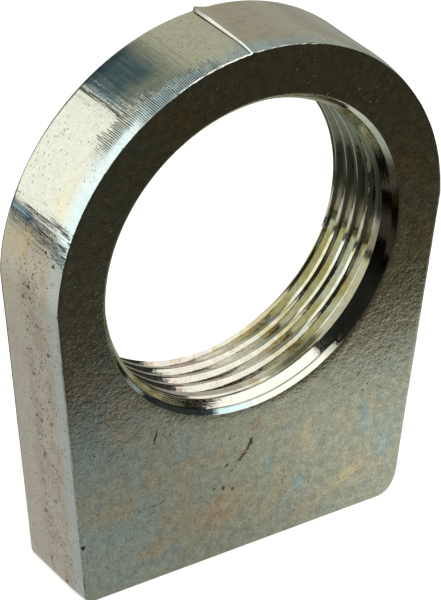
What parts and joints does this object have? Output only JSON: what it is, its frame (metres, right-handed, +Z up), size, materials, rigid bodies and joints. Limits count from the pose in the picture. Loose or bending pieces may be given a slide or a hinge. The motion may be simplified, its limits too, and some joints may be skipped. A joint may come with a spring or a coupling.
{
  "type": "self-locking nut",
  "caption": "Thick plate nut with a round head, tapered sides and a flat foot that keeps it from turning, with a large threaded bore through it.",
  "frame": {"origin": "on the threaded bore's axis, at the middle of the plate's thickness", "axes": "+Z up from the flat foot to the round head, +Y along the bore from the countersunk front face to the back face, +X to the right"},
  "size_m": [0.074, 0.0162, 0.0932],
  "materials": {
    "plated_steel": "zinc-plated steel plate, mottled grey-green faces with pits, brighter cut edges and thread"
  },
  "bodies": {
    "root": {"nut_body": "plated_steel"}
  },
  "joints": []
}
